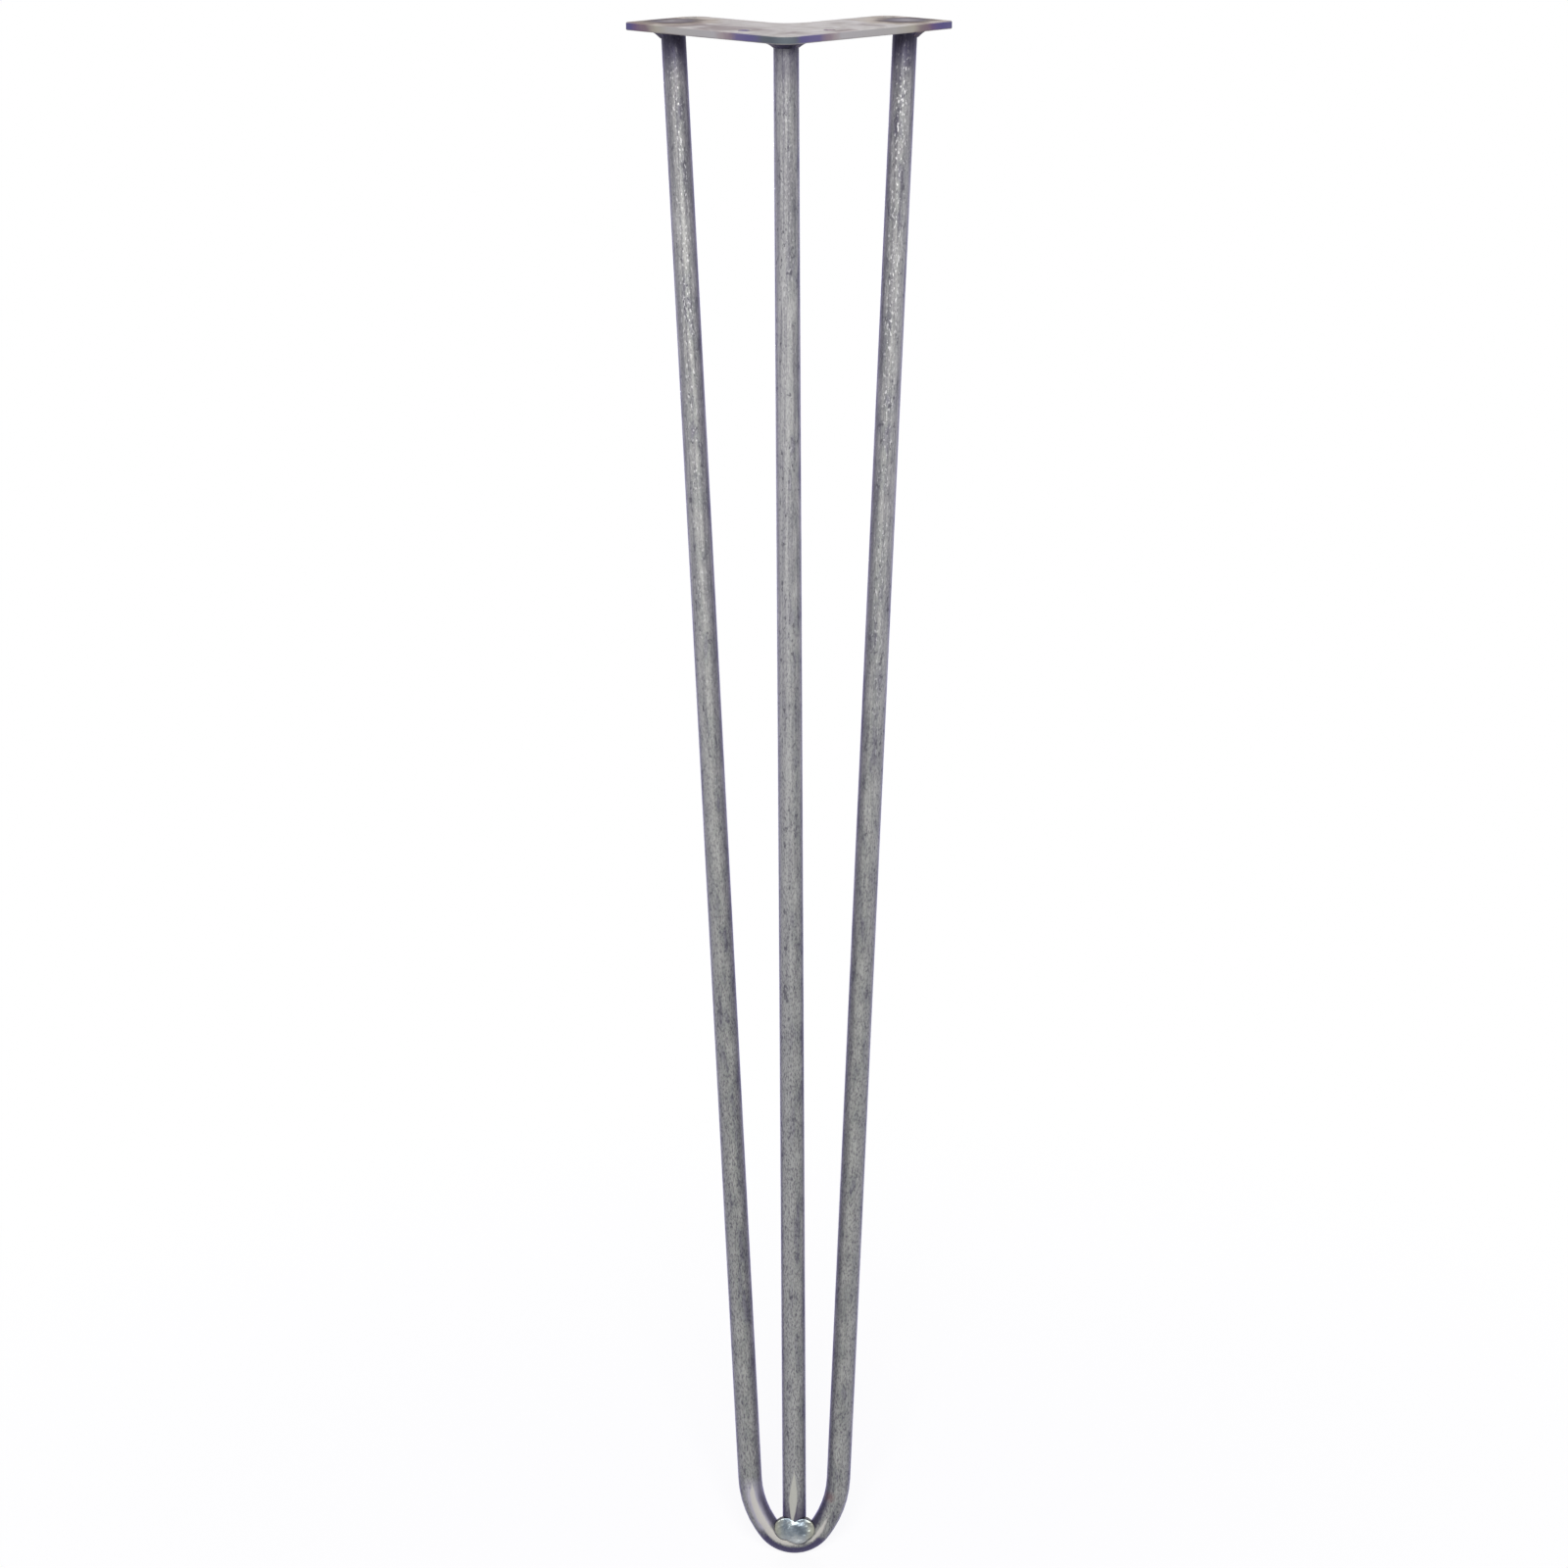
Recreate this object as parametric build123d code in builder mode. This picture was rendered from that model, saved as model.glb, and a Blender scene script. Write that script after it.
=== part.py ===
"""Hairpin table leg: one bent rod and one centre rod welded under a chevron plate.

Millimetres. +Z is up and the plate's outer corner faces -Y. The origin is on the
plate's top face, where the centrelines of its two arms cross.
"""

import os
from math import acos, atan2, cos, degrees, hypot, radians, sin

from build123d import *

os.makedirs("parts", exist_ok=True)

# The leg as a whole
leg_height = 711.2
foot_reach = 30.0
rod_diameter = 11.1

# Chevron plate
arm_length = 103.5
arm_width = 42.5
plate_thickness = 3.6
corner_radius = 8.0
notch_radius = 12.0
heel_radius = 9.0
tip_radius = 0.8
edge_break = 0.4

# Screw holes: one pair beside the corner, one pair near the ends of the arms
screw_hole_diameter = 5.5
hole_edge_inset = 8.75
near_hole_along = 14.0
far_hole_inset = 6.75

# Where the rods meet the plate: in from the ends of the arms, and back from the plate's corner
side_rod_inset = 12.25
side_rod_shift = 3.5
centre_rod_inset = 19.05

# The bend at the foot: a tight arc with a wide shoulder on each side
bend_radius = 14.5
bend_half_angle = 52.0
shoulder_radius = 45.0

# Saw cut at the centre rod's foot, above the bend's centreline; the end is then coped to the bend
centre_rod_cut = 3.0

# Weld fillets under the plate, heavier on the outer side of each side rod
side_weld_leg = 6.5
side_weld_drop = 4.3
side_weld_shift = 2.2
centre_weld_leg = 5.5
centre_weld_drop = 3.0
weld_rim = 0.2
weld_waist = 0.4

# Weld puddle at the foot: two lobes and a belly, tilted to face up and forward, fused into the rods' front
lobe_radius = 5.6
lobe_spread = 3.9
lobe_lift = 1.2
belly_radius = 5.4
puddle_rise = 6.4
puddle_tilt = 10.0
puddle_root = 2.5
puddle_front = 6.8
puddle_bevel = 2.0

rod_radius = rod_diameter / 2
half_width = arm_width / 2
arm_end = arm_length - half_width
hole_offset = half_width - hole_edge_inset
far_hole_along = arm_end - far_hole_inset
side_rod_along = arm_end - side_rod_inset
trim = 2 * rod_diameter

# Each arm runs back at 45 degrees from the corner
arms = Plane.XY.rotated((0, 0, 45))
underside = Plane.XY.offset(-plate_thickness)
plate_corner = arms.from_local_coords((-half_width, -half_width, -plate_thickness))
side_rod_top = arms.from_local_coords((side_rod_along, -side_rod_shift, -plate_thickness))
centre_rod_top = plate_corner + (0, centre_rod_inset, 0)
foot_centre = Vector(0, -foot_reach, rod_radius - leg_height)

# The hairpin lies in a plane that leans back from the foot to the side rods' tops
lean_run = side_rod_top.Y - foot_centre.Y
lean_rise = side_rod_top.Z - foot_centre.Z
hairpin_length = hypot(lean_run, lean_rise)
hairpin_plane = Plane(foot_centre, x_dir=(1, 0, 0), z_dir=(0, -lean_rise, lean_run))

# Each straight side leaves its shoulder on a tangent through the rod's place at the plate
shoulder_x = (bend_radius - shoulder_radius) * sin(radians(bend_half_angle))
shoulder_y = bend_radius + (shoulder_radius - bend_radius) * cos(radians(bend_half_angle))
span_x = side_rod_top.X - shoulder_x
span_y = hairpin_length - shoulder_y
splay = acos(shoulder_radius / hypot(span_x, span_y)) - atan2(span_y, span_x)
knee_x = shoulder_x + shoulder_radius * cos(splay)
knee_y = shoulder_y - shoulder_radius * sin(splay)
end_x = side_rod_top.X + trim * sin(splay)
end_y = hairpin_length + trim * cos(splay)
shoulder_angle = 90 - bend_half_angle - degrees(splay)

# The puddle's face, seen along its tilted axis
puddle_axis = (0, -cos(radians(puddle_tilt)), sin(radians(puddle_tilt)))
puddle_plane = Plane(foot_centre + (0, 0, puddle_rise), x_dir=(1, 0, 0), z_dir=puddle_axis)


def weld_section(neck, leg, drop):
    """Corners of half a hollow fillet weld, from its axis on the plate's underside."""
    return [
        (0, 0),
        (neck + leg, 0),
        (neck + leg, -weld_rim),
        (neck + weld_waist * leg, -weld_waist * drop),
        (neck, -drop),
        (0, -drop),
    ]


with BuildPart() as mounting_plate:
    with BuildSketch(arms):
        with BuildLine():
            FilletPolyline(
                (-half_width, -half_width),
                (arm_end, -half_width),
                (arm_end, half_width),
                (half_width, half_width),
                (half_width, arm_end),
                (-half_width, arm_end),
                radius=(corner_radius, tip_radius, heel_radius, notch_radius, heel_radius, tip_radius),
                close=True,
            )
        make_face()
        with Locations(
            (near_hole_along, -hole_offset),
            (far_hole_along, hole_offset),
            (-hole_offset, near_hole_along),
            (hole_offset, far_hole_along),
        ):
            Circle(screw_hole_diameter / 2, mode=Mode.SUBTRACT)
    extrude(amount=-plate_thickness)
    flat_faces = mounting_plate.faces().filter_by(Plane.XY)
    chamfer([edge for face in flat_faces for edge in face.outer_wire().edges()], edge_break)

with BuildPart() as foot_weld:
    with BuildSketch(puddle_plane.offset(puddle_root)):
        Circle(belly_radius)
        with Locations((-lobe_spread, lobe_lift), (lobe_spread, lobe_lift)):
            Circle(lobe_radius)
    extrude(amount=puddle_front - puddle_root)
    puddle_face = foot_weld.faces().sort_by(Axis.Y)[0]
    chamfer(puddle_face.outer_wire().edges(), puddle_bevel)

with BuildPart() as hairpin_rod:
    with BuildLine(hairpin_plane) as hairpin_path:
        Line((-end_x, end_y), (-knee_x, knee_y))
        CenterArc((-shoulder_x, shoulder_y), shoulder_radius, 180 + degrees(splay), shoulder_angle)
        CenterArc((0, bend_radius), bend_radius, 270 - bend_half_angle, 2 * bend_half_angle)
        CenterArc((shoulder_x, shoulder_y), shoulder_radius, 270 + bend_half_angle, shoulder_angle)
        Line((knee_x, knee_y), (end_x, end_y))
    with BuildSketch(Plane(hairpin_path.line @ 0, z_dir=hairpin_path.line % 0)):
        Circle(rod_radius)
    sweep()
    split(bisect_by=underside, keep=Keep.BOTTOM)
    add(foot_weld.part, mode=Mode.SUBTRACT)

with BuildPart() as centre_rod:
    centre_rod_run = centre_rod_top - foot_centre
    with BuildSketch(Plane(foot_centre, x_dir=(1, 0, 0), z_dir=centre_rod_run).offset(centre_rod_cut)):
        Circle(rod_radius)
    extrude(amount=centre_rod_run.length + trim)
    split(bisect_by=underside, keep=Keep.BOTTOM)
    add(hairpin_rod.part, mode=Mode.SUBTRACT)
    add(foot_weld.part, mode=Mode.SUBTRACT)

with BuildPart() as plate_weld_right:
    side_weld_origin = side_rod_top + (side_weld_shift, 0, 0)
    with BuildSketch(Plane(side_weld_origin, x_dir=(1, 0, 0), z_dir=(0, -1, 0))):
        with BuildLine():
            Polyline(*weld_section(rod_radius - side_weld_shift, side_weld_leg, side_weld_drop), close=True)
        make_face()
    revolve(axis=Axis(side_weld_origin, (0, 0, 1)))
    add(hairpin_rod.part, mode=Mode.SUBTRACT)

with BuildPart() as plate_weld_left:
    mirror(plate_weld_right.part, about=Plane.YZ)

with BuildPart() as plate_weld_centre:
    with BuildSketch(Plane(centre_rod_top, x_dir=(1, 0, 0), z_dir=(0, -1, 0))):
        with BuildLine():
            Polyline(*weld_section(rod_radius - weld_rim, centre_weld_leg, centre_weld_drop), close=True)
        make_face()
    revolve(axis=Axis(centre_rod_top, (0, 0, 1)))
    add(centre_rod.part, mode=Mode.SUBTRACT)

mounting_plate.part.label = "mounting_plate"
hairpin_rod.part.label = "hairpin_rod"
centre_rod.part.label = "centre_rod"
plate_weld_left.part.label = "plate_weld_left"
plate_weld_right.part.label = "plate_weld_right"
plate_weld_centre.part.label = "plate_weld_centre"
foot_weld.part.label = "foot_weld"

export_step(mounting_plate.part, "parts/mounting_plate.step")
export_step(hairpin_rod.part, "parts/hairpin_rod.step")
export_step(centre_rod.part, "parts/centre_rod.step")
export_step(plate_weld_left.part, "parts/plate_weld_left.step")
export_step(plate_weld_right.part, "parts/plate_weld_right.step")
export_step(plate_weld_centre.part, "parts/plate_weld_centre.step")
export_step(foot_weld.part, "parts/foot_weld.step")
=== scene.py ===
# %% [markdown]
# # A hairpin table leg in raw steel
# The real leg is one round bar bent into a long hairpin, a second straight bar in front of it, and a flat
# chevron plate. Four welds hold them together. The bars and the plate come from the imported CAD model and
# keep their shape, so here they only get their finish: mill scale, scuffs and the colours that heat leaves
# on steel. The welds are what CAD shows too plainly, so they are modelled again here.

# %% Load the imported model
from math import atan, cos, pi, radians, sin

import bpy
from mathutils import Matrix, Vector


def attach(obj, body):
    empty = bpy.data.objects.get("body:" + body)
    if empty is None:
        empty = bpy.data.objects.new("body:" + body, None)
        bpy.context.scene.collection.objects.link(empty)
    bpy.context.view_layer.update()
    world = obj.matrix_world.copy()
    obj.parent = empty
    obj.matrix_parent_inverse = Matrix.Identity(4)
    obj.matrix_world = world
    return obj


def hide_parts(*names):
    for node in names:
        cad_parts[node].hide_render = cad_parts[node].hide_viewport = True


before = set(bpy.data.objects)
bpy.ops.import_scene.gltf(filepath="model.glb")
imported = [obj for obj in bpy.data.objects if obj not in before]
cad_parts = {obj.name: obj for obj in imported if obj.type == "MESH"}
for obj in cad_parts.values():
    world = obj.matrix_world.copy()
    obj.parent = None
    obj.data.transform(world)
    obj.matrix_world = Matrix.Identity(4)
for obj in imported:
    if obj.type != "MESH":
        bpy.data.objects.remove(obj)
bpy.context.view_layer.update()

MM = 0.001
print("CAD nodes:", sorted(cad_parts))

# %% [markdown]
# ## The camera
# The photograph was taken from a little above the plate, a long way off, so the leg's sides hardly converge.
# A long lens does the same in Blender. The place and the turn were worked out from the leg's own height and
# the plate's corners, so the picture needs no lens shift.

# %% Camera
bpy.ops.object.select_all(action="DESELECT")
scene = bpy.context.scene
scene.view_settings.view_transform = "Standard"
bpy.ops.object.camera_add(
    location=(0.0435, -1.8763, 0.1765),
    rotation=(radians(74.571), radians(0.367), radians(1.329)),
)
camera = bpy.context.object
camera.name = "studio_camera"
camera.data.lens = 97.55
camera.data.sensor_width = 36
scene.camera = camera
print("camera lens", round(camera.data.lens, 2), "mm")

# %% [markdown]
# ## Helpers for materials
# Colours are written as the sRGB hex values a painter would pick from a screen. Blender's shaders add light
# in linear numbers, so one function turns each hex value into those. Another adds one node, sets it up, links
# it, and hands back the output that the next node needs. Every finish below is built with it. The last three
# start a material, lay coats of colour over each other as a painter would, and link the result.


# %% Colour and node helpers
def linear(hex_colour):
    """The linear RGBA of an sRGB hex colour such as "8a9196"."""
    parts = [int(hex_colour[i : i + 2], 16) / 255 for i in (0, 2, 4)]
    return (*[c / 12.92 if c <= 0.04045 else ((c + 0.055) / 1.055) ** 2.4 for c in parts], 1.0)


def node(tree, kind, sockets=(), out=None, stops=(), **settings):
    """Adds one shader node. Sockets are a list in order or a dict by name; stops are a ramp's colours.

    Returns the output named by out, or else the first one in use.
    """
    made = tree.nodes.new("ShaderNode" + kind)
    for name, value in settings.items():
        setattr(made, name, value)
    named = sockets if isinstance(sockets, dict) else dict(enumerate(sockets))
    for name, value in named.items():
        socket = next(s for i, s in enumerate(made.inputs) if name in (i, s.identifier))
        if isinstance(value, bpy.types.NodeSocket):
            tree.links.new(value, socket)
        else:
            socket.default_value = linear(value) if isinstance(value, str) else value
    for i, (place, colour) in enumerate(stops):
        elements = made.color_ramp.elements
        if i == 0:
            elements.remove(elements[1])
        stop = elements.new(place) if i else elements[0]
        stop.position = place
        stop.color = linear(colour) if isinstance(colour, str) else (colour, colour, colour, 1.0)
    return next(s for s in made.outputs if (s.identifier == out if out else s.enabled))


def new_finish(name):
    """An empty material: the material, its node tree, and the place on the piece in millimetres."""
    finish = bpy.data.materials.new(name)
    finish.use_nodes = True
    tree = finish.node_tree
    tree.nodes.clear()
    metres = node(tree, "TexCoord", out="Object")
    return finish, tree, node(tree, "VectorMath", {"Vector": metres, "Scale": 1 / MM}, operation="SCALE")


def painted(tree, colour, coats):
    """Lays coats of paint over a colour. Each coat is where it goes, its colour and how it blends."""
    for where, paint, blend in coats:
        sockets = {"Factor_Float": where, "A_Color": colour, "B_Color": paint}
        colour = node(tree, "Mix", sockets, out="Result_Color", data_type="RGBA", blend_type=blend)
    return colour


def put_out(tree, shader, kind="OutputMaterial"):
    """Links the last shader to the output of a material or the world."""
    tree.links.new(shader, tree.nodes.new("ShaderNode" + kind).inputs["Surface"])


print("mid grey 808080 is", round(linear("808080")[0], 3), "in linear light")

# %% [markdown]
# ## Where the bars run
# A rolling streak on a bar follows the bar, also round the bend. So the mill-scale finish first works out,
# for every point, how far along the bar it is and where it sits across the bar. The sizes are the leg's own,
# in millimetres: the sides lean back and apart, and at the foot each turns through a wide shoulder into the
# tight bend.

# %% Sizes of the bars
ROD_RADIUS = 5.55
PLATE_UNDER = -3.6
FLOOR = -711.2
FOOT_Y = -30.0
BEND_Z = FLOOR + ROD_RADIUS

# Place under the plate, and how far a bar leans sideways and back for each millimetre up
SIDE_BAR = {"spread": 51.97, "splay": 0.04627, "setback": 47.02, "lean": 0.1097}
CENTRE_BAR = {"spread": 0.0, "splay": 0.0, "setback": -11.0, "lean": 0.02706}

BEND_RADIUS = 14.5
SHOULDER_RADIUS = 45.0
BEND_ANGLE = radians(52)
SHOULDER_X = (SHOULDER_RADIUS - BEND_RADIUS) * sin(BEND_ANGLE)
SHOULDER_V = BEND_RADIUS + (SHOULDER_RADIUS - BEND_RADIUS) * cos(BEND_ANGLE)
KNEE_V = SHOULDER_V - SHOULDER_RADIUS * sin(atan(SIDE_BAR["splay"]))
KNEE_Z = BEND_Z + KNEE_V * cos(atan(SIDE_BAR["lean"]))
print("bar", 2 * ROD_RADIUS, "mm thick, straight down to z", round(KNEE_Z, 1))

# %% Along and across a bar
# How many spreads each side bar's pattern is moved along, so that left and right don't match
PATTERN_SHIFT = 20


def along_straight(tree, x, y, z, spread, splay, setback, lean):
    """Across, depth and run of a straight bar. The two side bars get different stretches of the pattern."""
    side = node(tree, "Math", [x], operation="SIGN")
    reach = node(tree, "Math", [z, splay, spread - splay * PLATE_UNDER], operation="MULTIPLY_ADD")
    back = node(tree, "Math", [z, lean, setback - lean * PLATE_UNDER], operation="MULTIPLY_ADD")
    outward = node(tree, "Math", [x], operation="ABSOLUTE") if spread else x
    across = node(tree, "Math", [outward, reach], operation="SUBTRACT")
    depth = node(tree, "Math", [y, back], operation="SUBTRACT")
    run = node(tree, "Math", [side, PATTERN_SHIFT * spread, z], operation="MULTIPLY_ADD")
    return across, depth, run


def round_bend(tree, x, y, z):
    """The turn round the bend (0 at the foot, minus on the left) and how far outside its centreline."""
    lean = atan(SIDE_BAR["lean"])
    from_foot = -FOOT_Y * sin(lean) - BEND_Z * cos(lean)
    ahead = node(tree, "Math", [y, sin(lean), from_foot], operation="MULTIPLY_ADD")
    rise = node(tree, "Math", [z, cos(lean), ahead], operation="MULTIPLY_ADD")
    outward = node(tree, "Math", [x], operation="ABSOLUTE")
    turns, offsets = [], []
    for centre_x, centre_v, radius in (
        (0.0, BEND_RADIUS, BEND_RADIUS),
        (-SHOULDER_X, SHOULDER_V, SHOULDER_RADIUS),
    ):
        over = node(tree, "Math", [outward, centre_x], operation="SUBTRACT")
        under = node(tree, "Math", [centre_v, rise], operation="SUBTRACT")
        arm = node(tree, "CombineXYZ", [over, under])
        length = node(tree, "VectorMath", [arm], out="Value", operation="LENGTH")
        offsets.append(node(tree, "Math", [length, radius], operation="SUBTRACT"))
        turns.append(node(tree, "Math", [over, under], operation="ARCTAN2"))
    in_bend = node(tree, "Math", [turns[0], BEND_ANGLE], operation="LESS_THAN")
    turn, outside = (
        node(tree, "Mix", {"Factor_Float": in_bend, "A_Float": wide, "B_Float": tight}, out="Result_Float")
        for tight, wide in (turns, offsets)
    )
    side = node(tree, "Math", [x], operation="SIGN")
    return node(tree, "Math", [turn, side], operation="MULTIPLY"), outside


print("each shoulder turns about a point", round(SHOULDER_X, 1), "mm past the middle")

# %% [markdown]
# ## Finish 1: hot-rolled bar with mill scale
# Hot-rolled steel comes out of the mill under a thin skin of grey oxide. To the eye it is half metal and half
# stone: a soft, broad shine, cloudy grey patches, a fine grain along the bar, long streaks, dark pits, and
# bright flecks, partly bare metal where the scale has rubbed off and partly painted glints on the lit front.
# Noise that is stretched along the bar gives each of these, and unlike an image it has no seam. The real
# grain is about 0.3 mm wide, which is finer than a pixel, so it is drawn 0.6 mm wide.

# %% Clouds along a bar
# Width and length of each kind of mark in millimetres, and its detail
SCALE_MARKS = {
    "patch": (4.0, 14.0, 3.0),
    "grain": (0.6, 1.5, 2.0),
    "streak": (1.2, 45.0, 2.0),
    "pit": (1.4, 3.0, 2.0),
    "fleck": (0.8, 2.0, 2.0),
}


def bar_clouds(tree, across, depth, run):
    """One noise for each kind of mark, stretched along the bar."""
    bar_place = node(tree, "CombineXYZ", [across, depth, run])
    clouds = {}
    for mark, (width, length, detail) in SCALE_MARKS.items():
        sizes = (1 / width, 1 / width, 1 / length)
        stretched = node(tree, "VectorMath", [bar_place, sizes], operation="MULTIPLY")
        clouds[mark] = node(tree, "TexNoise", {"Vector": stretched, "Scale": 1.0, "Detail": detail})
    return clouds


print("marks in the scale:", ", ".join(SCALE_MARKS))

# %% [markdown]
# ### From clouds to colours
# Every mark is one coat of paint: where it goes, its colour and how it blends. Close to the plate, smoke from
# welding left the bars lilac-grey, and the top is blue-black: partly heat tint and partly painted shadow of
# the plate. The inner sides of the hairpin carry painted shade, the outer sides a paler painted highlight,
# and the centre bar a painted highlight left of its middle. Grain is strong low down on the bars, and streaks
# and flecks are strong high up, while painted shade makes the lower half a little greyer.

# %% Coats of the mill scale
# Heights in millimetres: the look changes between them
BARS_LOW, GRAIN_FINE, STREAKS_FULL = -480.0, -250.0, -120.0
GREY_FROM = -150.0
FLECKS_FROM, FLECKS_FULL = -420.0, -100.0
SMOKE_FROM, SMOKE_FULL = -110.0, -20.0
SCORCH_SHADOW_FROM, SCORCH_SHADOW_FULL = -24.0, -6.0


def tone_coats(tree, across, z, ragged, burnt_and_shadowed, shade, side_highlight):
    """Broad tones: smoke at the top, painted shade on the inner sides, and a painted highlight on the lit
    side.
    """
    smoky = node(tree, "MapRange", {
        "Value": ragged, "From Min": SMOKE_FROM, "From Max": SMOKE_FULL, "To Max": burnt_and_shadowed / 2})
    coats = [(smoky, "a8a3b4", "MULTIPLY")]
    # Painted shade: the inner sides of the hairpin, which face each other, are darkened.
    if shade:
        inner = node(tree, "MapRange", {"Value": across, "From Min": -1.5, "From Max": -5.5, "To Max": shade},
                     interpolation_type="SMOOTHSTEP")
        straight = node(tree, "MapRange", {"Value": z, "From Min": KNEE_Z - 8, "From Max": KNEE_Z + 8})
        painted_inner_shade = node(tree, "Math", [inner, straight], operation="MULTIPLY")
        coats.append((painted_inner_shade, "b9b4c6", "MULTIPLY"))
    # Painted highlight: one side of each bar is made paler, as if a lamp lit it more.
    start, end, most = side_highlight
    painted_side_highlight = node(tree, "MapRange", {"Value": across, "From Min": start, "From Max": end, "To Max": most})
    return [*coats, (painted_side_highlight, "b6b6b6", "MIX")]


def rolled_coats(tree, z, clouds):
    """What rolling left: grain, streaks and pits, and a slightly greyer lower half that is painted shade."""
    grain = node(tree, "ValToRGB", [clouds["grain"]], stops=[
        (0.34, "a8a2b0"), (0.5, "eceeea"), (0.66, "ffffff")])
    grainy = node(tree, "MapRange", {
        "Value": z, "From Min": BARS_LOW, "From Max": GRAIN_FINE, "To Min": 0.9, "To Max": 0.5})
    streaks = node(tree, "ValToRGB", [clouds["streak"]], stops=[
        (0.40, "bebcc6"), (0.52, "f2f2f2"), (0.62, "ffffff")])
    streaky = node(tree, "MapRange", {
        "Value": z, "From Min": BARS_LOW, "From Max": STREAKS_FULL, "To Min": 0.2, "To Max": 0.7})
    # Painted shade: the lower half of the bars is made a little darker, as if it got less light.
    painted_lower_shade = node(tree, "MapRange", {"Value": z, "From Min": GREY_FROM, "From Max": BARS_LOW},
                 interpolation_type="SMOOTHSTEP")
    pits = node(tree, "Math", [clouds["patch"], 0.5, clouds["pit"]], operation="MULTIPLY_ADD")
    pits = node(tree, "MapRange", {"Value": pits, "From Min": 0.62, "From Max": 0.54, "To Max": 0.75})
    return [
        (grainy, grain, "MULTIPLY"),
        (streaky, streaks, "MULTIPLY"),
        (painted_lower_shade, "f0f1ef", "MULTIPLY"),
        (pits, "55545b", "MIX"),
    ]


def fleck_mask(tree, x, depth, z, fleck, flecked_and_glinting):
    """Bright flecks, partly bare metal and partly painted glints: on the front, high up, and a little more on
    the right.
    """
    flecks_and_glints = node(tree, "MapRange", {"Value": fleck, "From Min": 0.58, "From Max": 0.68})
    upper = node(tree, "MapRange", {
        "Value": z, "From Min": FLECKS_FROM, "From Max": FLECKS_FULL, "To Max": flecked_and_glinting})
    right = node(tree, "MapRange", {"Value": x, "From Min": -1.0, "From Max": 1.0, "To Min": 0.85})
    # Painted glints: the flecks keep to the front of the bar, where the lamp's highlight lies.
    proud = node(tree, "MapRange", {"Value": depth, "From Min": -4.0, "From Max": -5.45, "To Min": 0.1})
    for mask in (upper, right, proud):
        flecks_and_glints = node(tree, "Math", [flecks_and_glints, mask], operation="MULTIPLY")
    return flecks_and_glints


print("smoke reaches down to z", SMOKE_FROM, "and flecks to z", FLECKS_FROM)

# %% [markdown]
# ### The whole bar
# The coats go over the cloudy patches, the finest marks also make a low relief, and the patches change how
# rough the skin is. Thin oxide glows a little lilac at a bar's edges, where the eye looks along the surface.
# Sheen gives that from every side, and a paint that knew where the camera stands would not.


# %% Mill scale
def mill_scale(name, bar, marks_and_light, foot_coats):
    """The finish of one bar. The third argument gives its marks and its painted light and shade, and
    foot_coats adds the marks at its foot.
    """
    finish, tree, place = new_finish(name)
    x, y, z = (node(tree, "SeparateXYZ", [place], out=axis) for axis in "XYZ")
    across, depth, run = along_straight(tree, x, y, z, **bar)
    clouds = bar_clouds(tree, across, depth, run)
    patch = clouds["patch"]

    patches = node(tree, "ValToRGB", [patch], stops=[
        (0.30, "828189"), (0.44, "999b99"), (0.56, "a5a5a3"), (0.70, "b1b2af")])
    ragged = node(tree, "Math", [patch, 10.0, z], operation="MULTIPLY_ADD")
    flecks_and_glints = fleck_mask(tree, x, depth, z, clouds["fleck"], marks_and_light["flecked_and_glinting"])
    # Partly heat tint and partly painted shadow: the plate's shadow on the top of the bar is painted
    # blue-black.
    scorched = node(tree, "MapRange", {
        "Value": ragged, "From Min": SCORCH_SHADOW_FROM, "From Max": SCORCH_SHADOW_FULL, "To Max": marks_and_light["burnt_and_shadowed"]},
        interpolation_type="SMOOTHSTEP")
    colour = painted(tree, patches, [
        *tone_coats(tree, across, z, ragged, marks_and_light["burnt_and_shadowed"], marks_and_light["shade"], marks_and_light["side_highlight"]),
        *rolled_coats(tree, z, clouds),
        (flecks_and_glints, "e4e4e3", "MIX"),
        (scorched, "3f3b52", "MIX"),
        *foot_coats(tree, x, y, z, patch),
    ])

    rough = node(tree, "MapRange", {
        "Value": patch, "From Min": 0.3, "From Max": 0.7, "To Min": 0.44, "To Max": 0.32})
    height = node(tree, "Math", [clouds["grain"], 0.35, clouds["pit"]], operation="MULTIPLY_ADD")
    height = node(tree, "Math", [clouds["streak"], 0.8, height], operation="MULTIPLY_ADD")
    normal = node(tree, "Bump", {"Height": height, "Strength": 0.4, "Distance": 0.25 * MM})
    put_out(tree, node(tree, "BsdfPrincipled", {
        "Base Color": colour, "Metallic": 0.3, "Roughness": rough, "Normal": normal,
        "Specular IOR Level": 0.1,
        "Sheen Weight": 0.5, "Sheen Tint": "8474d4", "Sheen Roughness": 0.4}))
    return finish


# %% [markdown]
# ### Marks at the foot
# On the bend a pale band, a painted highlight, runs from the left shoulder under the weld and up on the
# right, with painted shade on the lower rim outside it, dark purple scale inside it, a lilac bloom on the
# left and a spot of rust on the right. On the centre bar a flame-shaped painted highlight points up from the
# weld. Each
# mark is a mask: a curve says how wide it is along its length, and a little noise makes its edge ragged.

# %% Marks on the bend
# Turn round the bend in degrees, and how far outside the bar's centreline the painted highlight band ends, in
# millimetres
BAND_TOP = [
    (-86, -1.0), (-80, 1.2), (-54, 1.2), (-20, 0.7), (5, 0.5),
    (20, 0.1), (30, 0.6), (36, 1.0), (56, 1.0), (64, -0.4),
]
BAND_BOTTOM = [
    (-86, -1.0), (-80, -2.0), (-54, -2.0), (-20, -1.9), (0, -0.8),
    (10, 0.1), (24, 0.0), (40, -0.8), (56, -1.2), (64, -0.4),
]
QUARTER_TURN = 90.0
BAND_REACH = 4.0
RUST_X, RUST_Z = 16.7, BEND_Z + 23.6


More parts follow.
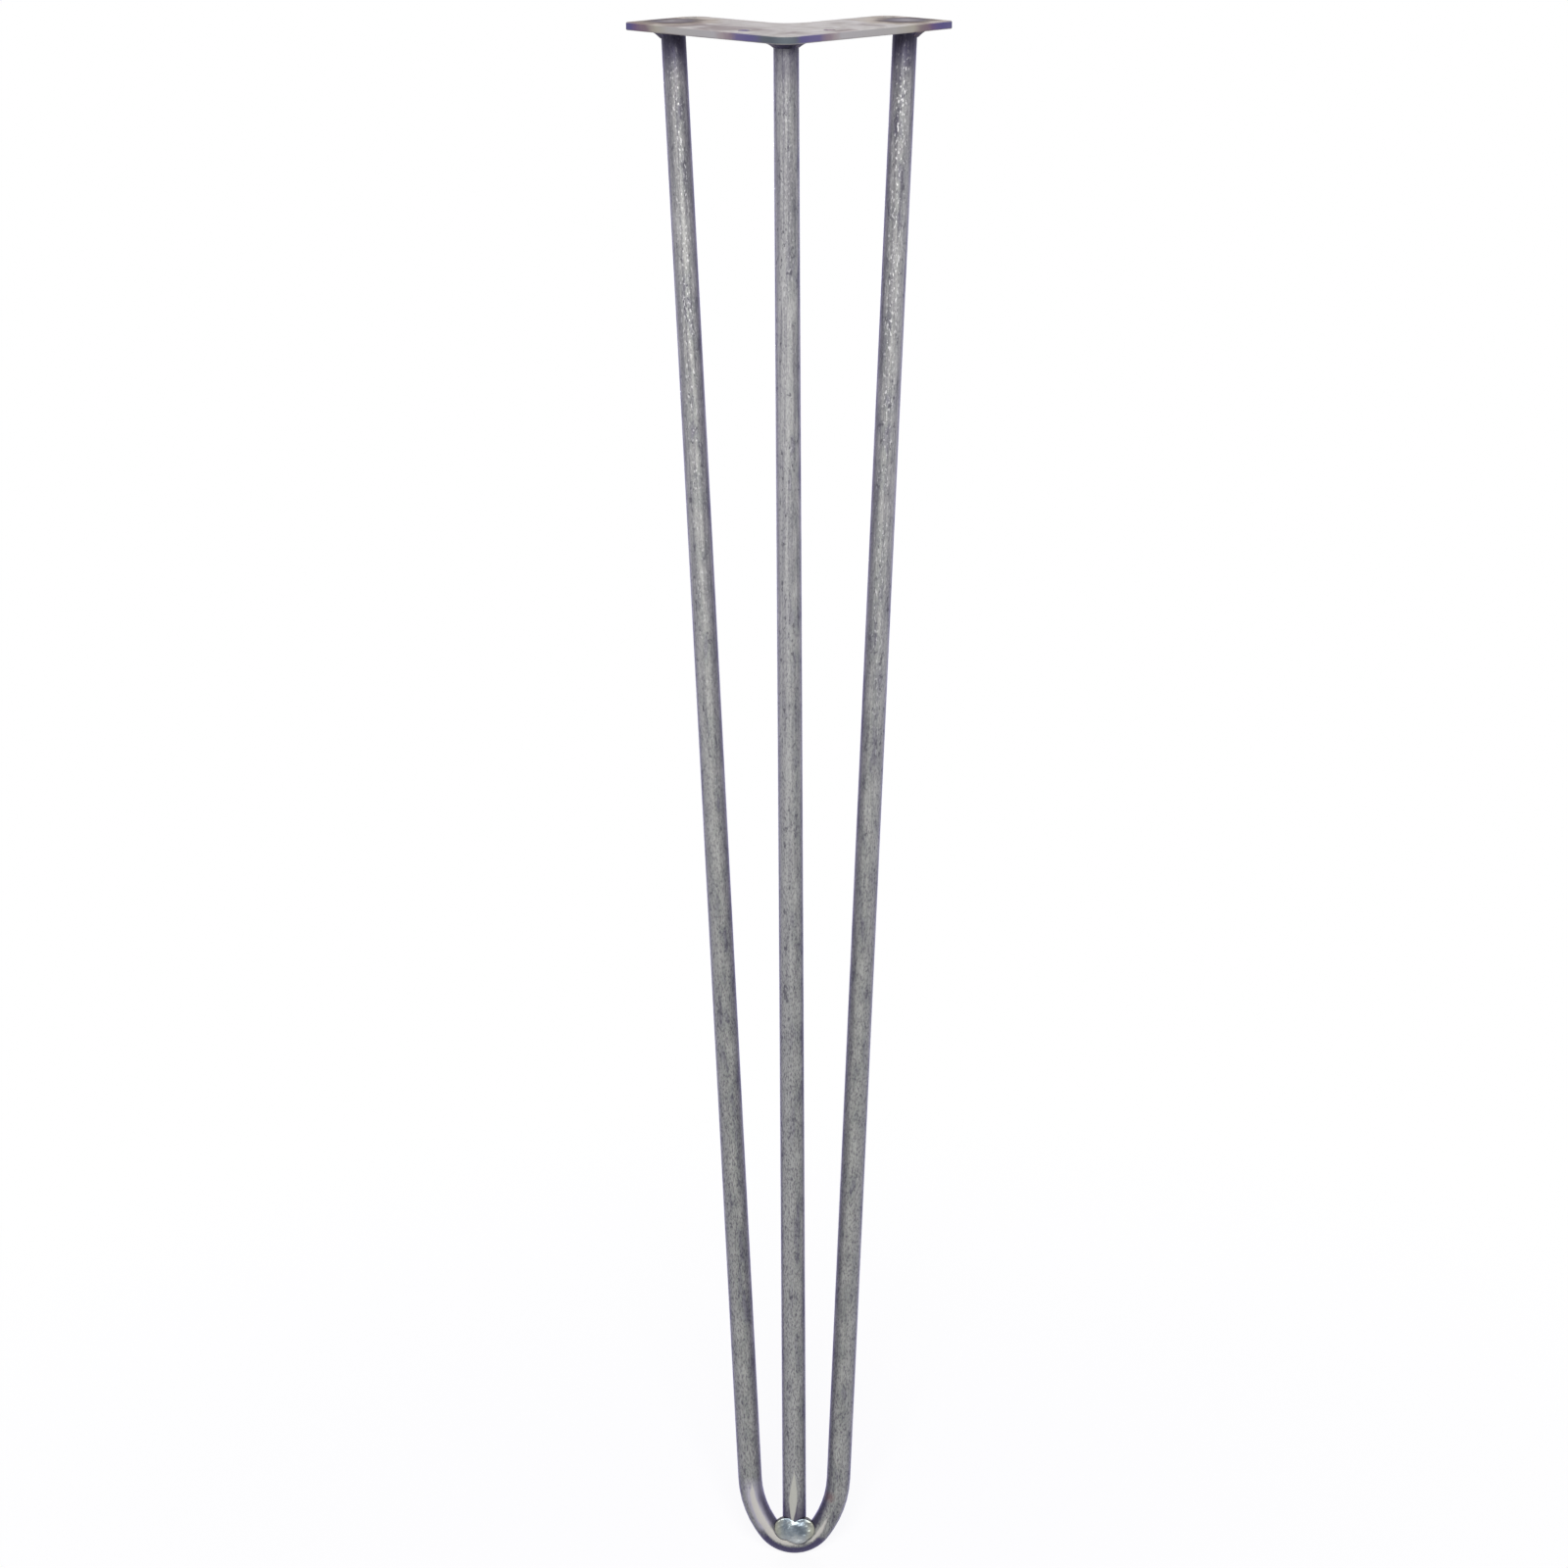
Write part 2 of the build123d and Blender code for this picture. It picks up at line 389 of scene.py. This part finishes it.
def painted_band_highlight(tree, round_foot, ragged):
    """The pale band of painted highlight between its two curves. A ramp holds each curve, scaled to run from
    0 to 1.
    """
    limits = []
    for curve in (BAND_TOP, BAND_BOTTOM):
        limit = node(tree, "ValToRGB", [round_foot], stops=[
            ((turn / QUARTER_TURN + 1) / 2, (out / BAND_REACH + 1) / 2) for turn, out in curve])
        limits.append(node(tree, "MapRange", {"Value": limit, "To Min": -BAND_REACH, "To Max": BAND_REACH}))
    under_top = node(tree, "Math", [limits[0], ragged], operation="SUBTRACT")
    over_bottom = node(tree, "Math", [ragged, limits[1]], operation="SUBTRACT")
    gap = node(tree, "Math", [under_top, over_bottom], operation="MINIMUM")
    return node(tree, "MapRange", {"Value": gap, "From Min": -0.25, "From Max": 0.45, "To Max": 0.95})


def painted_shade_and_scale(tree, round_foot, ragged, z):
    """Painted shade on the lower rim outside the band, over the foot only, and dark scale along the inner
    side of the whole bend.
    """
    # Painted shade: the outer rim of the bend, which faces down, is darkened.
    painted_rim_shade = node(tree, "MapRange", {"Value": ragged, "From Min": 1.0, "From Max": 1.8, "To Max": 0.9})
    over_foot = node(tree, "ValToRGB", [round_foot], stops=[
        (0.18, 0.0), (0.22, 1.0), (0.75, 1.0), (0.79, 0.0)])
    inner = node(tree, "MapRange", {"Value": ragged, "From Min": -1.8, "From Max": -3.6, "To Max": 0.8})
    low = node(tree, "MapRange", {"Value": z, "From Min": KNEE_Z + 6, "From Max": KNEE_Z - 12},
               interpolation_type="SMOOTHSTEP")
    return [node(tree, "Math", pair, operation="MULTIPLY") for pair in ((painted_rim_shade, over_foot), (inner, low))]


def bend_coats(tree, x, y, z, patch):
    """The coats on the bend. Bloom, rust and the painted highlight band are on its front only."""
    turn, outside = round_bend(tree, x, y, z)
    degrees = node(tree, "Math", [turn, 180 / pi], operation="MULTIPLY")
    round_foot = node(tree, "MapRange", {
        "Value": degrees, "From Min": -QUARTER_TURN, "From Max": QUARTER_TURN})
    ragged = node(tree, "MapRange", {"Value": patch, "To Min": -1.2, "To Max": 1.2})
    ragged = node(tree, "Math", [ragged, outside], operation="ADD")

    bloom = node(tree, "MapRange", {"Value": ragged, "From Min": 3.6, "From Max": 1.6, "To Max": 0.7})
    at_left = node(tree, "ValToRGB", [round_foot], stops=[(0.0, 0.0), (0.06, 1.0), (0.18, 1.0), (0.20, 0.0)])
    bloom = node(tree, "Math", [bloom, at_left], operation="MULTIPLY")
    aside = node(tree, "Math", [x, RUST_X], operation="SUBTRACT")
    above = node(tree, "Math", [z, RUST_Z], operation="SUBTRACT")
    away = node(tree, "CombineXYZ", [aside, above])
    away = node(tree, "VectorMath", [away], out="Value", operation="LENGTH")
    rust = node(tree, "MapRange", {"Value": away, "From Min": 3.4, "From Max": 0.8, "To Max": 0.5})

    painted_rim_shade, inner = painted_shade_and_scale(tree, round_foot, ragged, z)
    front = node(tree, "MapRange", {"Value": y, "From Min": FOOT_Y + 4, "From Max": FOOT_Y + 1})
    bloom, rust, painted_highlight = (
        node(tree, "Math", [mark, front], operation="MULTIPLY")
        for mark in (bloom, rust, painted_band_highlight(tree, round_foot, ragged))
    )
    # Painted shade on the lower outer rim, dark scale inside, bloom, rust, and the band as a painted
    # highlight.
    return [(bloom, "bab7c4", "MIX"), (painted_rim_shade, "443f5e", "MIX"), (inner, "3b3750", "MIX"),
            (rust, "775b5a", "MIX"), (painted_highlight, "bfbdb5", "MIX")]


print("pale band from", BAND_TOP[0][0], "to", BAND_TOP[-1][0], "degrees round the bend")

# %% Flame on the centre bar
FLAME_FROM, FLAME_TIP = BEND_Z + 12.0, BEND_Z + 39.0
FLAME_HALF_WIDTH = 2.3
WELD_HEAT_TOP = BEND_Z + 30.0


def flame_coats(tree, x, y, z, patch):
    """Dark scale above the weld, and a flame-shaped painted highlight on the front of it."""
    up = node(tree, "MapRange", {"Value": z, "From Min": FLAME_FROM, "From Max": FLAME_TIP})
    width = node(tree, "ValToRGB", [up], stops=[
        (0.0, 0.15), (0.2, 0.62), (0.4, 0.9), (0.6, 0.75), (0.8, 0.42), (1.0, 0.0)])
    middle = node(tree, "Math", [up, 1.2, -0.9], operation="MULTIPLY_ADD")
    off = node(tree, "Math", [x, middle], operation="SUBTRACT")
    off = node(tree, "Math", [off], operation="ABSOLUTE")
    ragged = node(tree, "Math", [patch, 0.8, off], operation="MULTIPLY_ADD")
    inside = node(tree, "Math", [width, FLAME_HALF_WIDTH, 0.4], operation="MULTIPLY_ADD")
    gap = node(tree, "Math", [inside, ragged], operation="SUBTRACT")
    # Painted highlight: a pale flame shape on the front of the centre bar.
    painted_highlight = node(tree, "MapRange", {"Value": gap, "From Min": -0.15, "From Max": 0.35, "To Max": 0.95})
    front = node(tree, "MapRange", {"Value": y, "From Min": FOOT_Y, "From Max": FOOT_Y - 2})
    painted_highlight = node(tree, "Math", [painted_highlight, front], operation="MULTIPLY")
    dark = node(tree, "MapRange", {
        "Value": z, "From Min": WELD_HEAT_TOP, "From Max": FLAME_FROM, "To Max": 0.8},
        interpolation_type="SMOOTHSTEP")
    return [(dark, "4a4559", "MIX"), (painted_highlight, "b8b9ae", "MIX")]


print("flame", round(FLAME_TIP - FLAME_FROM), "mm high")

# %% Dress the bars
# Burnt top with painted shadow, painted inner shade and flecks, each from 0 to 1, and the painted highlight:
# from, to (mm across) and most
SIDE_MARKS_AND_LIGHT = {"burnt_and_shadowed": 0.8, "shade": 0.7, "flecked_and_glinting": 0.8, "side_highlight": (0.0, 3.5, 0.35)}
CENTRE_MARKS_AND_LIGHT = {"burnt_and_shadowed": 0.5, "shade": 0.0, "flecked_and_glinting": 0.35, "side_highlight": (3.0, -1.0, 0.6)}

side_bar_finish = mill_scale("hot_rolled_bar_mill_scale", SIDE_BAR, SIDE_MARKS_AND_LIGHT, bend_coats)
centre_bar_finish = mill_scale("hot_rolled_bar_mill_scale_centre", CENTRE_BAR, CENTRE_MARKS_AND_LIGHT, flame_coats)
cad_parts["hairpin_rod"].material_slots[0].material = side_bar_finish
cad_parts["centre_rod"].material_slots[0].material = centre_bar_finish
print("bars:", side_bar_finish.name, "and", centre_bar_finish.name)

# %% [markdown]
# ## Finish 2: cold-rolled plate with temper colours
# The plate is cleaner, paler steel with a satin shine, so it is rougher than the bars and hardly mirrors the
# lamps. Heat from the welds has drawn temper colours on it: going out from the hottest place, steel turns
# grey-blue, blue, purple, brown and straw before it is bare. On the front edges the colours start at the
# corner and at the two tips, and on the left they lie further out. The rear edges stayed bare. On the flat
# faces the colours lie in rings over the side bars, with brown stains between, more of them on the left.

# %% Heat on the plate
PLATE_HALF_WIDTH = 73.2
RING_RADIUS = 30.0
STAIN_WIDTH = 16.0


def plate_edge(tree, x, outward, wobble, rear):
    """Temper colours along the edges, read off a ramp that runs from the corner to a tip."""
    left = node(tree, "Math", [x, 0.0], operation="LESS_THAN")
    moved = node(tree, "Math", [outward, 0.06, -8.0], operation="MULTIPLY_ADD")
    run = node(tree, "Math", [left, moved, outward], operation="MULTIPLY_ADD")
    run = node(tree, "Math", [run, wobble], operation="ADD")
    run = node(tree, "MapRange", {"Value": run, "From Max": PLATE_HALF_WIDTH})
    edge = node(tree, "ValToRGB", [run], stops=[
        (0.00, "5f666c"), (0.05, "62686f"), (0.11, "66618a"), (0.20, "716a8e"), (0.24, "8b7d88"),
        (0.29, "a09697"), (0.35, "acaaab"), (0.66, "adaba7"), (0.75, "a8a497"), (0.82, "827379"),
        (0.87, "725f7e"), (0.92, "605b86"), (1.00, "676487")])
    return painted(tree, edge, [(rear, "a7a5a1", "MIX")])


def heat_ring(tree, outward, y, wobble):
    """How far a place is from the side bar under it: 0 over the bar, and 1 at the ring's radius."""
    aside = node(tree, "Math", [outward, SIDE_BAR["spread"]], operation="SUBTRACT")
    behind = node(tree, "Math", [y, SIDE_BAR["setback"]], operation="SUBTRACT")
    apart = node(tree, "CombineXYZ", [aside, behind])
    ring = node(tree, "VectorMath", [apart], out="Value", operation="LENGTH")
    ring = node(tree, "Math", [ring, wobble], operation="ADD")
    return node(tree, "MapRange", {"Value": ring, "From Max": RING_RADIUS})


def stains(tree, place, x, rear):
    """Brown stains, more of them on the left and few towards the rear edges."""
    stain = node(tree, "TexNoise", {
        "Vector": place, "Scale": 1 / STAIN_WIDTH, "Detail": 4.0, "Distortion": 0.6})
    worn = node(tree, "MapRange", {"Value": x, "From Min": 5.0, "From Max": -45.0, "To Max": 0.12})
    dirty = node(tree, "Math", [stain, worn], operation="ADD")
    dirty = node(tree, "MapRange", {"Value": dirty, "From Min": 0.48, "From Max": 0.72, "To Max": 0.8})
    clean = node(tree, "Math", [1.0, rear], operation="SUBTRACT")
    return node(tree, "Math", [dirty, clean], operation="MULTIPLY")


print("heat rings", RING_RADIUS, "mm round the side bars")

# %% Plate
CLOUD_WIDTH = 9.0
SKIN_GRIT = 1.2


def plate_steel(name):
    """Edges and flat faces are told apart by which way the surface points."""
    finish, tree, place = new_finish(name)
    x, y = (node(tree, "SeparateXYZ", [place], out=axis) for axis in "XY")
    outward = node(tree, "Math", [x], operation="ABSOLUTE")
    rear = node(tree, "Math", [y, outward], operation="SUBTRACT")
    rear = node(tree, "MapRange", {"Value": rear, "From Min": -5.0, "From Max": 20.0, "To Max": 0.9})
    cloud = node(tree, "TexNoise", {"Vector": place, "Scale": 1 / CLOUD_WIDTH, "Detail": 3.0})
    wobble = node(tree, "MapRange", {"Value": cloud, "To Min": -5.0, "To Max": 5.0})
    edge = plate_edge(tree, x, outward, wobble, rear)
    ring = heat_ring(tree, outward, y, wobble)
    dirty = stains(tree, place, x, rear)

    bare = node(tree, "ValToRGB", [cloud], stops=[(0.3, "beb9b1"), (0.5, "d0cdc5"), (0.7, "dad7d1")])
    heat = node(tree, "ValToRGB", [ring], stops=[
        (0.0, "e4e2e6"), (0.16, "c4c2ca"), (0.28, "a6a3ae"), (0.38, "b2aaa4"), (0.52, "f6f0e6"),
        (0.85, "ffffff")])
    flat_face = painted(tree, bare, [(dirty, "a0948d", "MIX"), (1.0, heat, "MULTIPLY")])
    facing = node(tree, "NewGeometry", out="Normal")
    facing_up = node(tree, "SeparateXYZ", [facing], out="Z")
    level = node(tree, "Math", [facing_up], operation="ABSOLUTE")
    level = node(tree, "MapRange", {"Value": level, "From Min": 0.4, "From Max": 0.9})
    colour = painted(tree, edge, [(level, flat_face, "MIX")])

    scorched = node(tree, "ValToRGB", [ring], stops=[(0.05, 0.3), (0.25, 1.0), (0.42, 1.0), (0.58, 0.0)])
    oxide = node(tree, "Math", [dirty, scorched], operation="MAXIMUM")
    oxide = node(tree, "Math", [oxide, level], operation="MULTIPLY")
    metal = node(tree, "MapRange", {"Value": oxide, "To Min": 0.35, "To Max": 0.1})
    skin = node(tree, "TexNoise", {"Vector": place, "Scale": 1 / SKIN_GRIT, "Detail": 2.0})
    normal = node(tree, "Bump", {"Height": skin, "Strength": 0.2, "Distance": 0.1 * MM})
    put_out(tree, node(tree, "BsdfPrincipled", {
        "Base Color": colour, "Metallic": metal, "Roughness": 0.75, "Normal": normal,
        "Specular IOR Level": 0.1}))
    return finish


plate_finish = plate_steel("cold_rolled_plate_temper_colours")
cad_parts["mounting_plate"].material_slots[0].material = plate_finish
print("plate:", plate_finish.name)

# %% [markdown]
# ## Finish 3: weld metal
# Under the plate the welds were left as they cooled, with a dull blue-brown skin of oxide. The weld at the
# foot was cleaned, so it is bright and smooth with a satin shine, a straw tint at its ends, a pale belly that
# is a painted reflection of the floor, and a dark line round its edge that is partly oxide and partly painted
# shade. That line follows the shape: it is where the surface turns away from the front of the pool.

# %% Weld finishes
BEAD_CLOUD, POOL_CLOUD = 4.0, 5.0
POOL_TILT = radians(10)
POOL_OUT = Vector((0, -cos(POOL_TILT), sin(POOL_TILT)))


def oxidised_weld(name):
    """Weld metal as it cooled: dull, with blue and brown clouds."""
    finish, tree, place = new_finish(name)
    cloud = node(tree, "TexNoise", {"Vector": place, "Scale": 1 / BEAD_CLOUD, "Detail": 3.0})
    colour = node(tree, "ValToRGB", [cloud], stops=[
        (0.3, "454250"), (0.5, "5a546c"), (0.62, "6b6070"), (0.75, "7d6f66")])
    put_out(tree, node(tree, "BsdfPrincipled", {
        "Base Color": colour, "Metallic": 0.3, "Roughness": 0.55, "Specular IOR Level": 0.2}))
    return finish


def bright_weld(name):
    """Cleaned weld metal: bright, with straw ends, a painted floor reflection on the belly and a rim of oxide
    and painted shade.
    """
    finish, tree, place = new_finish(name)
    x, z = (node(tree, "SeparateXYZ", [place], out=axis) for axis in "XZ")
    cloud = node(tree, "TexNoise", {"Vector": place, "Scale": 1 / POOL_CLOUD, "Detail": 2.0})
    steel = node(tree, "ValToRGB", [cloud], stops=[(0.35, "5c656e"), (0.5, "717a82"), (0.65, "8a9193")])
    # Painted reflection: the lower part of the pool is paler, as if it mirrored the white floor.
    painted_floor_reflection = node(tree, "MapRange", {
        "Value": z, "From Min": BEND_Z + 7.0, "From Max": BEND_Z + 3.5, "To Max": 0.7})
    ends = node(tree, "Math", [x], operation="ABSOLUTE")
    ends = node(tree, "Math", [cloud, 4.0, ends], operation="MULTIPLY_ADD")
    straw = node(tree, "MapRange", {"Value": ends, "From Min": 6.5, "From Max": 10.5, "To Max": 0.6})
    # Partly oxide and partly painted shade: darker where the surface turns away from the front.
    facing = node(tree, "NewGeometry", out="Normal")
    outward = node(tree, "VectorMath", [facing, POOL_OUT], out="Value", operation="DOT_PRODUCT")
    rim = node(tree, "MapRange", {"Value": outward, "From Min": 0.55, "From Max": 0.2})
    colour = painted(tree, steel, [
        (painted_floor_reflection, "a9acad", "MIX"), (straw, "a3a18c", "MIX"), (rim, "47434f", "MIX")])
    normal = node(tree, "Bump", {"Height": cloud, "Strength": 0.3, "Distance": 0.5 * MM})
    put_out(tree, node(tree, "BsdfPrincipled", {
        "Base Color": colour, "Metallic": 0.85, "Roughness": 0.38, "Normal": normal}))
    return finish


plate_weld_finish = oxidised_weld("oxidised_weld_bead")
foot_weld_finish = bright_weld("bright_weld_metal")
print("welds:", plate_weld_finish.name, "and", foot_weld_finish.name)

# %% [markdown]
# ## Welds under the plate
# A weld runs round each bar in a hollow flare, and it was laid in short steps, so it has ripples that bow
# like a row of coins pushed over. A lathe shape would be smooth all round. Here a disc is extruded down in
# rings that narrow along the flare, and each ring is turned a little so that its points line up in bowed
# columns. Every fourth column is then pushed out, and a subdivision surface rounds it all off.

# %% Weld bead under the plate
RIPPLES = 24
POINTS_PER_RIPPLE = 4
RIPPLE_HEIGHT = 0.22
BOW = radians(9)
# Share of the weld's leg and of its drop, ring by ring from the plate down
FLARE = [(1.0, 0.05), (0.80, 0.12), (0.58, 0.25), (0.40, 0.41), (0.22, 0.63), (0.08, 0.85), (0.0, 1.0)]


def plate_weld(node_name, at, neck, leg, drop):
    """A rippled flare round a bar: at is its axis, neck and leg its radii, drop its height in millimetres."""
    centre = Vector((*at, PLATE_UNDER)) * MM
    rim = (neck + leg) * MM
    count = RIPPLES * POINTS_PER_RIPPLE
    bpy.ops.object.select_all(action="DESELECT")
    bpy.ops.mesh.primitive_circle_add(vertices=count, radius=rim, fill_type="NGON", location=centre)
    bead = bpy.context.object
    bead.name = node_name + "_bead"
    bpy.ops.object.transform_apply(location=True, rotation=True, scale=True)
    bpy.ops.object.mode_set(mode="EDIT")
    bpy.ops.mesh.select_all(action="SELECT")
    radius, depth, bow = rim, 0.0, 0.0
    for share, fall in FLARE:
        ring, level, lag = (neck + leg * share) * MM, drop * fall * MM, BOW * sin(radians(180 * fall))
        bpy.ops.mesh.extrude_region_move(TRANSFORM_OT_translate={"value": (0, 0, depth - level)})
        bpy.ops.transform.resize(value=(ring / radius, ring / radius, 1), center_override=centre)
        bpy.ops.transform.rotate(value=lag - bow, orient_axis="Z", center_override=centre)
        radius, depth, bow = ring, level, lag
    bpy.ops.mesh.select_all(action="SELECT")
    bpy.ops.mesh.normals_make_consistent(inside=False)
    bpy.ops.mesh.select_all(action="DESELECT")
    bpy.ops.object.mode_set(mode="OBJECT")
    for vertex in bead.data.vertices:
        ring_number, column = divmod(vertex.index, count)
        vertex.select = 1 < ring_number < len(FLARE) and column % POINTS_PER_RIPPLE == 0
    bpy.ops.object.mode_set(mode="EDIT")
    bpy.ops.mesh.select_mode(type="VERT")
    bpy.ops.transform.shrink_fatten(value=RIPPLE_HEIGHT * MM)
    bpy.ops.object.mode_set(mode="OBJECT")
    rounding = bead.modifiers.new("rounding", "SUBSURF")
    rounding.levels = rounding.render_levels = 1
    bpy.ops.object.modifier_apply(modifier=rounding.name)
    bpy.ops.object.shade_smooth()
    bead.data.materials.append(plate_weld_finish)
    return bead


print("each bead has", RIPPLES, "ripples of", RIPPLE_HEIGHT, "mm")

# %% Three beads
# The side welds are heavier on the outer side, so their axis lies a little outside the bar's
SIDE_WELD_X = SIDE_BAR["spread"] + 2.2
SIDE_WELD = {"neck": 3.35, "leg": 6.5, "drop": 4.3}
CENTRE_WELD = {"neck": 5.35, "leg": 5.5, "drop": 3.0}

beads = {
    "plate_weld_centre": plate_weld("plate_weld_centre", (0, CENTRE_BAR["setback"]), **CENTRE_WELD),
    "plate_weld_right": plate_weld("plate_weld_right", (SIDE_WELD_X, SIDE_BAR["setback"]), **SIDE_WELD),
}
bpy.ops.object.duplicate()
left_bead = bpy.context.object
left_bead.name = "plate_weld_left_bead"
left_bead.scale = (-1, 1, 1)
bpy.ops.object.transform_apply(location=False, rotation=False, scale=True)
bpy.ops.object.mode_set(mode="EDIT")
bpy.ops.mesh.select_all(action="SELECT")
bpy.ops.mesh.normals_make_consistent(inside=False)
bpy.ops.object.mode_set(mode="OBJECT")
beads["plate_weld_left"] = left_bead
for node_name, bead in beads.items():
    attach(bead, "root")
    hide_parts(node_name)
    print(bead.name, len(bead.data.polygons), "faces")

# %% [markdown]
# ## The weld at the foot
# Where the centre bar meets the bend, a pool of weld metal froze on the front: two lobes and a belly that ran
# together. Metal that was liquid has no corners, so three thick discs are joined, remeshed into one skin and
# relaxed until the joints between them flow. A cloud texture then makes the skin a little uneven, as a weld
# made by hand is. The back is cut off flat inside the bars.

# %% Discs of the foot weld
POOL = Vector((0, FOOT_Y, BEND_Z + 6.4)) * MM
POOL_UP = Vector((0, sin(POOL_TILT), cos(POOL_TILT)))
# Across, up, thickness, half width and half height in millimetres
POOL_DISCS = [
    (-3.9, 1.6, 6.3, 5.5, 5.4),
    (4.1, 1.2, 6.6, 5.6, 5.4),
    (1.6, -0.6, 6.9, 6.2, 5.0),
]

bpy.ops.object.select_all(action="DESELECT")
discs = []
for across, up, thickness, half_width, half_height in POOL_DISCS:
    spot = POOL + (Vector((across, 0, 0)) + POOL_UP * up + POOL_OUT * thickness / 2) * MM
    bpy.ops.mesh.primitive_cylinder_add(
        vertices=48, radius=MM, depth=thickness * MM, location=spot,
        rotation=(radians(90) - POOL_TILT, 0, 0), scale=(half_width, half_height, 1))
    discs.append(bpy.context.object)
for disc in discs:
    disc.select_set(True)
bpy.ops.object.join()
pool = bpy.context.object
pool.name = "foot_weld_pool"
bpy.ops.object.transform_apply(location=True, rotation=True, scale=True)
print(pool.name, "from", len(POOL_DISCS), "discs")

# %% Skin of the foot weld
SKIN_VOXEL = 0.3 * MM
LUMP_WIDTH, LUMP_HEIGHT = 3.5 * MM, 0.75 * MM
POOL_BACK = 2.3 * MM

skin = pool.modifiers.new("one_skin", "REMESH")
skin.mode, skin.voxel_size = "VOXEL", SKIN_VOXEL
relax = pool.modifiers.new("relax", "SMOOTH")
relax.factor, relax.iterations = 0.5, 30
lumps = bpy.data.textures.new("weld_lumps", "CLOUDS")
lumps.noise_scale = LUMP_WIDTH
uneven = pool.modifiers.new("uneven", "DISPLACE")
uneven.texture, uneven.strength = lumps, LUMP_HEIGHT
for modifier in (skin.name, relax.name, uneven.name):
    bpy.ops.object.modifier_apply(modifier=modifier)
bpy.ops.object.mode_set(mode="EDIT")
bpy.ops.mesh.select_all(action="SELECT")
bpy.ops.mesh.bisect(plane_co=POOL + POOL_OUT * POOL_BACK, plane_no=POOL_OUT, use_fill=True, clear_inner=True)
bpy.ops.object.mode_set(mode="OBJECT")
bpy.ops.object.shade_smooth_by_angle(angle=radians(50))
pool.data.materials.append(foot_weld_finish)
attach(pool, "root")
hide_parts("foot_weld")
print(pool.name, len(pool.data.polygons), "faces")

# %% [markdown]
# ## The studio
# The photograph has a plain white background, and a large pale floor with a pale sky gives that from every
# side. Both are white only to rays that show them, in the picture or mirrored in metal. As light they are
# dim, so they don't wash out the steel, and the floor is a touch less white by the foot, where it keeps the
# leg's shadow.


# %% Floor
def seen_directly(tree):
    """1 for rays that show the background itself, in the picture or mirrored in metal, and 0 for light."""
    rays = [node(tree, "LightPath", out=f"Is {kind} Ray") for kind in ("Camera", "Glossy", "Transmission")]
    seen = node(tree, "Math", rays[:2], operation="ADD")
    return node(tree, "Math", [seen, rays[2]], operation="ADD", use_clamp=True)


bpy.ops.object.select_all(action="DESELECT")
bpy.ops.mesh.primitive_plane_add(size=40, location=(0, 0, FLOOR * MM))
floor = bpy.context.object
floor.name = "studio_floor"
floor_finish, tree, place = new_finish("pale_studio_floor")
seen = seen_directly(tree)
away = node(tree, "VectorMath", [place], out="Value", operation="LENGTH")
whiteness = node(tree, "MapRange", {"Value": away, "From Min": 100.0, "From Max": 600.0, "To Min": 0.9})
share = node(tree, "Math", [seen, whiteness], operation="MULTIPLY")
paper = painted(tree, "7c7c82", [(seen, "f6f6f6", "MIX")])
matt = node(tree, "BsdfDiffuse", {"Color": paper})
white = node(tree, "Emission", {"Color": "ffffff", "Strength": 1.0})
put_out(tree, node(tree, "MixShader", [share, matt, white]))
floor.data.materials.append(floor_finish)
print("floor at z", round(floor.location.z, 4), "m")

# %% [markdown]
# ### Lamps
# The light is soft: one wide lamp in front and above, a second one behind at the leg's own height, two weak
# lilac ones at the sides, and a dim lilac sky for the rest. Only the front lamp may be mirrored in the steel.
# The others would show as thin bright lines along the bars' edges, which the photograph doesn't have.

# %% Lamps and sky
for name, stands, aim, size, watts, tint, mirrored in (
    ("key_lamp", (0.05, -2.3, 1.1), -0.3, 1.0, 84, "fffef8", True),
    ("left_lamp", (-0.95, 0.8, -0.5), -0.9, 0.6, 5, "d2c8ff", False),
    ("right_lamp", (0.95, 0.8, -0.5), -0.9, 0.6, 5, "d2c8ff", False),
    ("back_lamp", (-0.3, 2.3, -0.3), -0.3, 0.8, 60, "fffefa", False),
):
    turn = (Vector((0, 0, aim)) - Vector(stands)).to_track_quat("-Z", "Y").to_euler()
    bpy.ops.object.light_add(type="AREA", location=stands, rotation=turn)
    lamp = bpy.context.object
    lamp.name = name
    lamp.data.size = size
    lamp.data.energy = watts
    lamp.data.color = linear(tint)[:3]
    lamp.visible_camera = False
    lamp.visible_glossy = mirrored

world = bpy.data.worlds.new("studio_sky")
world.use_nodes = True
tree = world.node_tree
tree.nodes.clear()
sky = painted(tree, "4a4180", [(seen_directly(tree), "ffffff", "MIX")])
put_out(tree, node(tree, "Background", [sky, 1.0]), "OutputWorld")
scene.world = world
